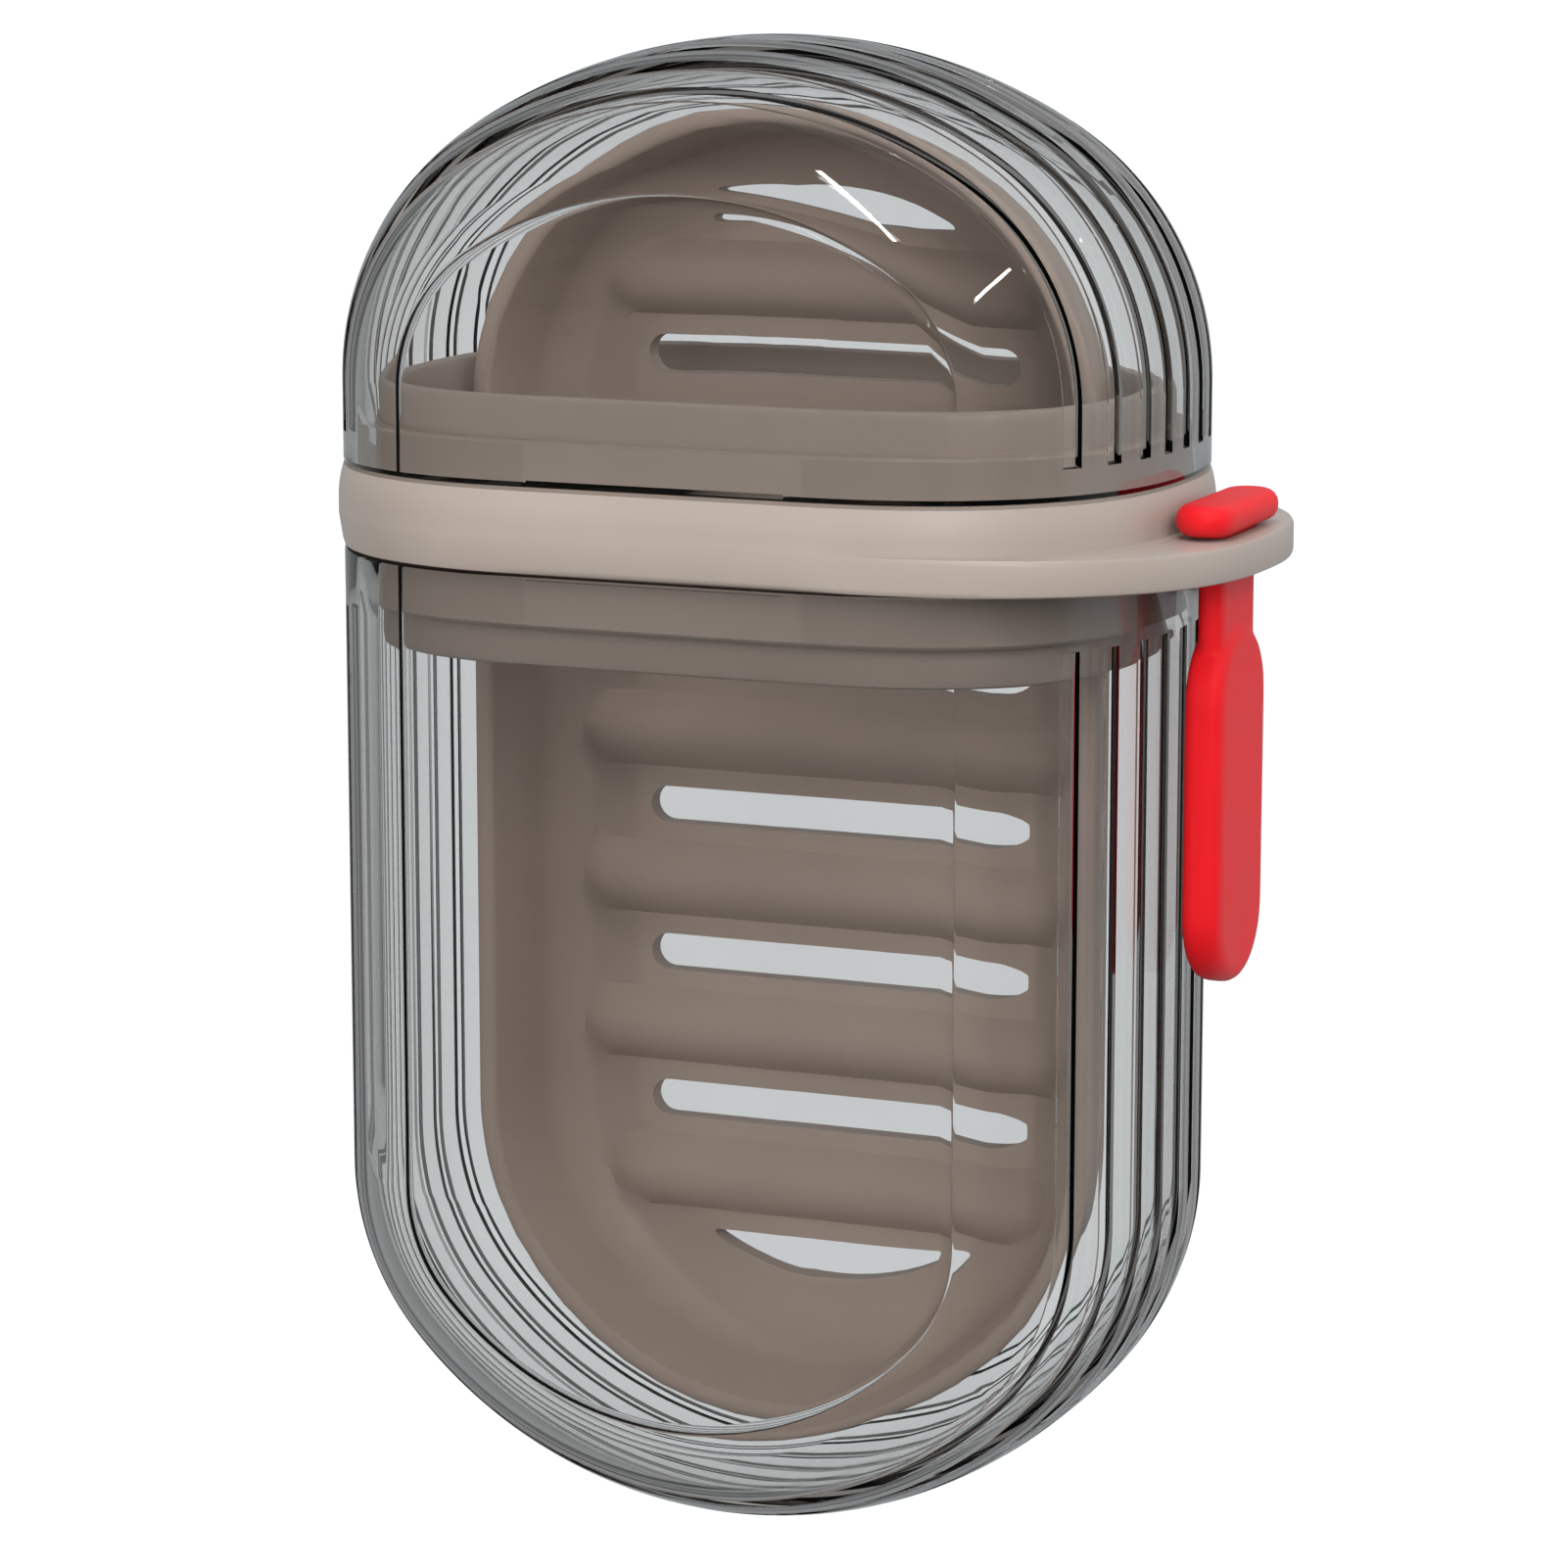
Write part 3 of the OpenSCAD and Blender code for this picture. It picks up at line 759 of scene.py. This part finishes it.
# The fine faces that the floor is cut into before it is raised: their sides along the case and
# across it, and how many lie on each side of the middle
FACE_LONG, FACE_WIDE, FACES_ACROSS = 1.05 * MM, 1.2 * MM, 22
TONGUE_DROP = 0.05 * MM


def tray_outline(inset):
    """The tray's closed outline: an arch at each end."""
    centre_x = TRAY_HALF - TRAY_CORNER
    spread, drop, bend = arch_arcs(centre_x, TRAY_RISE - TRAY_CORNER)
    arch = []
    for x, y, r, start, end in (
        (centre_x, 0, TRAY_CORNER, 0, bend),
        (0, -drop, TRAY_CORNER + spread, bend, pi - bend),
        (-centre_x, 0, TRAY_CORNER, pi - bend, pi),
    ):
        for a in steps_between(start, end, ARCH_STEPS):
            arch.append((x + (r - inset) * cos(a), y + (r - inset) * sin(a)))
    arch.append((-(TRAY_HALF - inset), 0))
    top = [(x, y + TRAY_TOP - TRAY_RISE) for x, y in arch]
    return top + [(-x, -y + TRAY_FOOT + TRAY_RISE) for x, y in arch]


def rounded_foot(inset, base, r):
    """Insets and heights from the flat floor out round the foot and up to the lean wall."""
    rows = []
    for i in range(FOOT_STEPS + 1):
        a = pi / 2 * i / FOOT_STEPS
        rows.append((inset + TRAY_LEAN + r * (1 - sin(a)), base + r * (1 - cos(a))))
    return rows


def ridge_height(x, y, r):
    """Height of the nearest ridge's round back over the floor, negative away from it."""
    best = -r
    for k in range(RIDGE_COUNT):
        ridge_y = SLOT_MID + (k - (RIDGE_COUNT - 1) / 2) * SLOT_PITCH
        half = END_RIDGE_HALF if k in (0, RIDGE_COUNT - 1) else RIDGE_HALF
        past = max(abs(x) - (half - r), 0.0)
        away = hypot(past, y - ridge_y)
        if away < r:
            best = max(best, sqrt(r * r - away * away) + RIDGE_UP - RIDGE_R)
    return best


def smooth_max(a, b, soft):
    """The larger of two values, with a soft passage from one to the other."""
    h = max(soft - abs(a - b), 0.0) / soft
    return max(a, b) + h * h * soft / 4


def tray_skin():
    """The dish as one closed skin with a flat floor."""
    outer = rounded_foot(0, BOTTOM_Z, FOOT_OUT)
    inner = rounded_foot(TRAY_WALL, FLOOR_Z, FOOT_IN)
    over = []
    for i in range(RIM_STEPS + 1):
        a = pi * i / RIM_STEPS
        inset = TRAY_WALL / 2 - TRAY_WALL / 2 * cos(a)
        over.append((inset, MID_Z - RIM_ROUND + RIM_ROUND * sin(a)))
    rows = outer + over + list(reversed(inner))
    bm = bmesh.new()
    outlines = [[Vector((x, y, z)) for x, y in tray_outline(inset)] for inset, z in rows]
    first, last = loft(bm, outlines)
    for loop in (first, last):
        bmesh.ops.edgeloop_fill(bm, edges=loop)
    bmesh.ops.recalc_face_normals(bm, faces=bm.faces)
    return bm


def cut_fine(bm):
    """Cuts the tray's skin into strips across it, and its flat faces into small squares."""
    y = TRAY_FOOT + MM
    while y < TRAY_TOP:
        bmesh.ops.bisect_plane(
            bm, geom=list(bm.verts) + list(bm.edges) + list(bm.faces), dist=CUT_NEAR,
            plane_co=(0, y, 0), plane_no=(0, 1, 0),
        )
        y += FACE_LONG
    for k in range(-FACES_ACROSS, FACES_ACROSS + 1):
        faces = [
            f for f in bm.faces
            if any(all(abs(v.co.z - z) < MICRON for v in f.verts) for z in (FLOOR_Z, BOTTOM_Z))
        ]
        edges = list(dict.fromkeys(e for f in faces for e in f.edges))
        bmesh.ops.bisect_plane(
            bm, geom=ends_of(edges) + edges + faces, dist=CUT_NEAR,
            plane_co=(k * FACE_WIDE, 0, 0), plane_no=(1, 0, 0),
        )


def tray_mesh():
    """The dish, its floor raised into ridges that are hollow underneath."""
    bm = tray_skin()
    cut_fine(bm)
    for v in bm.verts:
        if v.co.z > MID_Z - RIM_KEPT:
            continue
        top = ridge_height(v.co.x, v.co.y, RIDGE_R)
        under = ridge_height(v.co.x, v.co.y, HOLLOW_R)
        if v.co.z > FLOOR_Z - MM:
            v.co.z = smooth_max(v.co.z, FLOOR_Z + top, RIDGE_SOFT)
        elif v.co.z < BOTTOM_Z + RIDGE_UP and under > -HOLLOW_R:
            v.co.z = smooth_max(v.co.z, FLOOR_Z + under, RIDGE_SOFT)
    return bm


def end_slot_points(side):
    """Outline of the bowed slot at one end of the tray."""
    bow = (END_SLOT_HALF ** 2 + END_SLOT_TALL ** 2) / (2 * END_SLOT_TALL)
    turn = atan2(END_SLOT_HALF, bow - END_SLOT_TALL)
    y = SLOT_MID + side * ((SLOT_COUNT + 1) / 2 * SLOT_PITCH - END_SLOT_IN)
    angles = [turn * (1 - 2 * i / END_SLOT_STEPS) for i in range(END_SLOT_STEPS + 1)]
    return [(bow * sin(a), y + side * (END_SLOT_TALL - bow + bow * cos(a))) for a in angles]


def slots_mesh():
    """Cutters for the tray's long slots and two end slots, as one mesh of separate prisms."""
    outlines = []
    for k in range(SLOT_COUNT):
        y = SLOT_MID + (k - (SLOT_COUNT - 1) / 2) * SLOT_PITCH
        outlines.append([(u, v + y) for u, v in pill_points(SLOT_LONG, SLOT_WIDE)])
    outlines += [end_slot_points(1), end_slot_points(-1)]
    low, high = BOTTOM_Z - MM, FLOOR_Z + SLOT_CUT_UP
    return gather([
        prism(outline, low, high, lambda u, v, w: (u, v, w), END_SLOT_ROUND)
        for outline in outlines
    ])


def tongues_mesh():
    """A tongue on each side of the rim, between the collar's rails."""
    return side_bars(
        TRAY_HALF - TRAY_WALL / 2, HALF_W - BORE_IN - TONGUE_GAP, ((-RAIL_T, -TONGUE_DROP),)
    )


class SOAPDISH_OT_tray(bpy.types.Operator):
    """Builds the drain tray with its ridges and slots"""

    bl_idname = "soapdish.tray"
    bl_label = "Drain tray"

    def execute(self, context):
        finish = plastic(
            "Tray plastic", looks().tray_colour, shade=0.02, rough=0.36, rough_spread=0.06,
            grain_scale=90, grain_strength=0.4,
        )
        dish = new_object("dish", tray_mesh())
        cut_with(dish, slots_mesh())
        cut_with(dish, tongues_mesh(), "UNION")
        new_piece(
            "tray_dish", mesh_from(dish), finish, "collar", "drain_tray", sharp=35
        )
        return {"FINISHED"}


# Strap

# Each slab's length, width, thickness, edge rounding and steps round an end
PADDLE = 33 * MM, 13.6 * MM, 3.8 * MM, 1.3 * MM, 20
HEAD = 17.4 * MM, 5.6 * MM, 2.9 * MM, 1.3 * MM, 16
NECK = 10.35 * MM, 2.6 * MM, 17 * MM, 0.2 * MM, 12
PADDLE_TOP, HEAD_Y, NECK_Y = -8.7 * MM, 1.35 * MM, -7.5 * MM
SLAB_STEPS = 4
MELT_GRID, SOFTEN_SHARE, SOFTEN_TIMES = 0.25 * MM, 0.5, 6


def rounded_slab(length, width, thick, r, end_steps, place):
    """A flat bar with round ends, its outline pulled in round both faces, put in place by a
    function of (u, v, w)."""
    rows = []
    for i in range(SLAB_STEPS + 1):
        a = pi / 2 * i / SLAB_STEPS
        rows.append((r * (1 - sin(a)), -thick / 2 + r * (1 - cos(a))))
    rows += [(inset, -w) for inset, w in reversed(rows)]
    outlines = [
        [Vector(place(u, v, w)) for u, v in
         pill_points(length - 2 * inset, width - 2 * inset, end_steps)]
        for inset, w in rows
    ]
    bm = bmesh.new()
    for loop in loft(bm, outlines):
        bmesh.ops.edgeloop_fill(bm, edges=loop)
    bmesh.ops.recalc_face_normals(bm, faces=bm.faces)
    return bm


def strap_mesh():
    """The strap's paddle, head and neck, each a rounded slab, still apart."""
    paddle_y = PADDLE_TOP - PADDLE[0] / 2
    return gather([
        rounded_slab(*PADDLE, lambda u, v, w: (STRAP_X + w, paddle_y + u, MID_Z + v)),
        rounded_slab(*HEAD, lambda u, v, w: (STRAP_X + v, HEAD_Y + w, MID_Z + u)),
        rounded_slab(*NECK, lambda u, v, w: (STRAP_X + v, NECK_Y + w, MID_Z + u)),
    ])


class SOAPDISH_OT_strap(bpy.types.Operator):
    """Builds the soft red strap as one moulding"""

    bl_idname = "soapdish.strap"
    bl_label = "Strap"

    def execute(self, context):
        finish = plastic(
            "Red silicone", looks().strap_colour, shade=0.03, rough=0.5, rough_spread=0.05,
            grain_scale=120, grain_strength=0.5, Specular_IOR_Level=0.35,
        )
        strap = new_object("strap", strap_mesh())
        melt = strap.modifiers.new("Melt", "REMESH")
        melt.mode, melt.voxel_size = "VOXEL", MELT_GRID
        soften = strap.modifiers.new("Soften", "SMOOTH")
        soften.factor, soften.iterations = SOFTEN_SHARE, SOFTEN_TIMES
        apply_modifiers(strap)
        new_piece(
            "strap_moulding", mesh_from(strap), finish, "strap", "strap", sharp=80
        )
        return {"FINISHED"}


# Studio

CAMERA_AT = Vector((0.1903, 0.0663, 0.4814))
CAMERA_RIGHT = Vector((0.9225, 0.0, -0.386))
CAMERA_UP = Vector((-0.0718, 0.9825, -0.1717))
LENS, SENSOR = 122.3, 36
CLIP_NEAR, CLIP_FAR = 0.05, 20
LAMPS_AIM = (0, -0.02, 0.03)
FLOOR_SIZE = 4
# The floor's painted pool of light, a glow that stands in for the lamps' light round the case and
# takes no shadows: its middle, where it starts to fade and where it has faded
POOL_MIDDLE, POOL_START, POOL_END = (0.0, -0.03, 0.0), 0.13, 0.26
# Colour of the painted glow, and how much of the glow is left beyond the pool
GLOW_COLOUR = (0.95, 0.99, 1.02, 1)
FAR_GLOW = 0.3
# Painted shade: how bright the floor is where it shows in reflections, which darkens the clear
# shells' reflections
FLOOR_PAINTED_DIM_IN_GLOSS = 0.4


def softbox(name, at, wide, tall, power, along=(0, 1, 0), mirrored=False):
    """A rectangular lamp turned to the case, its tall side along a direction. Unless mirrored, it
    lights without showing in the gloss."""
    light = bpy.data.lights.new(name, "AREA")
    light.shape, light.size, light.size_y, light.energy = "RECTANGLE", wide, tall, power
    obj = bpy.data.objects.new(name, light)
    back = (Vector(at) - Vector(LAMPS_AIM)).normalized()
    side = Vector(along).cross(back).normalized()
    axes = Matrix((side, back.cross(side), back)).transposed()
    obj.matrix_world = Matrix.Translation(at) @ axes.to_4x4()
    obj.visible_glossy = obj.visible_transmission = mirrored
    bpy.context.scene.collection.objects.link(obj)


def floor_finish():
    """A pale floor with a painted pool of light round the case. There it glows in place of the
    lamps' light, so it takes no shadows.
    It is painted dimmer where it shows in reflections, a painted shade that darkens the clear
    shells' edges. Where it glows, it has no paint for the lamps to light."""
    material = bpy.data.materials.new("Floor paint with painted light")
    material.use_nodes = True
    nodes, links = material.node_tree.nodes, material.node_tree.links
    surface = nodes["Principled BSDF"]
    surface.inputs["Roughness"].default_value = 0.9
    surface.inputs["Specular IOR Level"].default_value = 0
    surface.inputs["Emission Color"].default_value = GLOW_COLOUR
    place = add_node(nodes, "ShaderNodeTexCoord")
    away = add_node(nodes, "ShaderNodeVectorMath", {1: POOL_MIDDLE}, operation="DISTANCE")
    # The painted pool of light: full glow near the case, fading to a faint glow further off
    painted_light_pool = add_node(nodes, "ShaderNodeMapRange", {
        "From Min": POOL_START, "From Max": POOL_END, "To Min": 1, "To Max": FAR_GLOW,
    }, interpolation_type="SMOOTHSTEP")
    path = add_node(nodes, "ShaderNodeLightPath")
    # Painted shade: the whole floor, glow and paint, is dimmer where it is seen in a reflection
    painted_gloss_shade = add_node(nodes, "ShaderNodeMapRange", {
        "From Max": 1, "To Min": 1, "To Max": FLOOR_PAINTED_DIM_IN_GLOSS,
    })
    bright = add_node(nodes, "ShaderNodeMath", {1: looks().floor_glow}, operation="MULTIPLY")
    glow = add_node(nodes, "ShaderNodeMath", operation="MULTIPLY")
    unlit = add_node(nodes, "ShaderNodeMath", {0: 1}, operation="SUBTRACT")
    painted = add_node(nodes, "ShaderNodeMath", operation="MULTIPLY")
    paint = add_node(nodes, "ShaderNodeVectorMath", {0: looks().floor_colour}, operation="SCALE")
    links.new(place.outputs["Object"], away.inputs[0])
    links.new(away.outputs["Value"], painted_light_pool.inputs["Value"])
    links.new(path.outputs["Glossy Depth"], painted_gloss_shade.inputs["Value"])
    links.new(painted_light_pool.outputs[0], bright.inputs[0])
    links.new(bright.outputs[0], glow.inputs[0])
    links.new(painted_gloss_shade.outputs[0], glow.inputs[1])
    links.new(glow.outputs[0], surface.inputs["Emission Strength"])
    links.new(painted_light_pool.outputs[0], unlit.inputs[1])
    links.new(unlit.outputs[0], painted.inputs[0])
    links.new(painted_gloss_shade.outputs[0], painted.inputs[1])
    links.new(painted.outputs[0], paint.inputs["Scale"])
    links.new(paint.outputs[0], surface.inputs["Base Color"])
    return material


def lay_floor():
    """The floor under the case."""
    bm = bmesh.new()
    bmesh.ops.create_grid(bm, x_segments=2, y_segments=2, size=FLOOR_SIZE)
    floor = new_object("floor", bm)
    floor.data.materials.append(floor_finish())


def set_light(scene):
    """The room's faint light, three soft lamps, and two thin ones that show as streaks."""
    world = bpy.data.worlds.new("Room")
    world.use_nodes = True
    room = world.node_tree.nodes["Background"]
    room.inputs["Color"].default_value = (1, 1, 1, 1)
    room.inputs["Strength"].default_value = looks().daylight
    scene.world = world
    softbox("Key", (0.45, 0.34, 0.72), wide=0.5, tall=0.6, power=6)
    softbox("Top", (0.15, 0.75, 0.3), wide=0.4, tall=0.3, power=2.2)
    softbox("Fill", (-0.4, 0.0, 0.75), wide=0.7, tall=0.7, power=4.2)
    softbox(
        "Dome streak", (0.055, 0.554, 0.341), wide=0.014, tall=0.24, power=0.35,
        along=(0.147, -0.117, 0.178), mirrored=True,
    )
    softbox(
        "Corner streak", (0.453, 0.387, 0.27), wide=0.012, tall=0.26, power=0.3,
        along=(0.07, 0.1, -0.3), mirrored=True,
    )


def set_camera(scene):
    """The camera, placed as the photographer's was."""
    camera = bpy.data.cameras.new("Camera")
    camera.lens, camera.sensor_width = LENS, SENSOR
    camera.clip_start, camera.clip_end = CLIP_NEAR, CLIP_FAR
    eye = bpy.data.objects.new("Camera", camera)
    axes = Matrix((CAMERA_RIGHT, CAMERA_UP, CAMERA_RIGHT.cross(CAMERA_UP))).transposed()
    eye.matrix_world = Matrix.Translation(CAMERA_AT) @ axes.to_4x4()
    scene.collection.objects.link(eye)
    scene.camera = eye
    scene.view_settings.view_transform = "Standard"


class SOAPDISH_OT_stage(bpy.types.Operator):
    """Lays the pale floor and sets the soft light and the camera"""

    bl_idname = "soapdish.stage"
    bl_label = "Studio"

    def execute(self, context):
        lay_floor()
        set_light(context.scene)
        set_camera(context.scene)
        return {"FINISHED"}


# Panel

class SOAPDISH_PT_panel(bpy.types.Panel):
    """Lists the sizes, the looks and the steps"""

    bl_idname = "SOAPDISH_PT_panel"
    bl_label = "Covered Soap Dish"
    bl_space_type = "VIEW_3D"
    bl_region_type = "UI"
    bl_category = "Soap Dish"

    def draw(self, context):
        for group in (context.scene.soap_dish_sizes, context.scene.soap_dish_looks):
            for name in group.__annotations__:
                self.layout.prop(group, name)
        for operator in OPERATORS:
            self.layout.operator(operator.bl_idname)


OPERATORS = (
    SOAPDISH_OT_shells, SOAPDISH_OT_collar, SOAPDISH_OT_tray, SOAPDISH_OT_strap, SOAPDISH_OT_stage,
)
CLASSES = (SoapDishSizes, SoapDishLooks, *OPERATORS, SOAPDISH_PT_panel)


def register():
    """Adds the classes, and the sizes and looks of a scene."""
    for cls in CLASSES:
        bpy.utils.register_class(cls)
    bpy.types.Scene.soap_dish_sizes = PointerProperty(type=SoapDishSizes)
    bpy.types.Scene.soap_dish_looks = PointerProperty(type=SoapDishLooks)


def unregister():
    """Takes them away again."""
    del bpy.types.Scene.soap_dish_sizes, bpy.types.Scene.soap_dish_looks
    for cls in reversed(CLASSES):
        bpy.utils.unregister_class(cls)


def main():
    """Builds everything."""
    register()
    bpy.ops.soapdish.shells()
    bpy.ops.soapdish.collar()
    bpy.ops.soapdish.tray()
    bpy.ops.soapdish.strap()
    bpy.ops.soapdish.stage()


if __name__ == "__main__":
    main()
